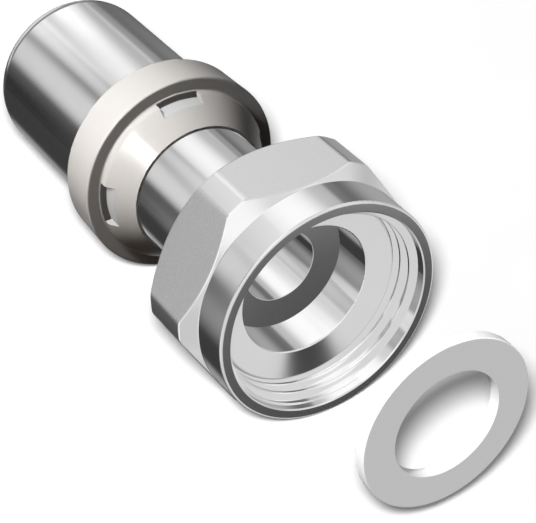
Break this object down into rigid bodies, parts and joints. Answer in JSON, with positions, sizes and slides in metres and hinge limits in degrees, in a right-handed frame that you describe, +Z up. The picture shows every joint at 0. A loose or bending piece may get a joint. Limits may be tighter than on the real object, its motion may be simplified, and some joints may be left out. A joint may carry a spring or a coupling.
{
  "type": "press-fit coupling",
  "caption": "Straight press coupling for multilayer pipe: steel press sleeve, plastic window ring, plated body and a hexagon union nut with a loose flat gasket.",
  "frame": {"origin": "on the common axis, in the plane of the nut's open rim", "axes": "+X along the common axis, out of the nut; +Z up, with a flat of the hexagon straight down"},
  "size_m": [0.0894, 0.0328, 0.0296],
  "materials": {
    "plated_nut": "nickel plated, satin flats and a polished collar",
    "plated_body": "nickel plated, polished turned surfaces",
    "seal_rubber": "smooth moulded",
    "ring_plastic": "moulded, light warm grey, half gloss",
    "sleeve_steel": "bright drawn stainless",
    "gasket_sheet": "matt pale grey sheet"
  },
  "bodies": {
    "coupling": {"fitting_body": "plated_body", "o_ring_front": "seal_rubber", "o_ring_rear": "seal_rubber", "window_ring": "ring_plastic", "press_sleeve": "sleeve_steel"},
    "nut": {"union_nut": "plated_nut"},
    "gasket": {"flat_gasket": "gasket_sheet"}
  },
  "joints": [
    {"name": "nut_spin", "type": "hinge", "parent": "coupling", "child": "nut", "pos_m": [-0.0098, 0, 0], "axis": [1, 0, 0], "continuous": true},
    {"name": "gasket_slide", "type": "slide", "parent": "coupling", "child": "gasket", "axis": [-1, 0, 0], "range_m": [0, 0.026]}
  ]
}
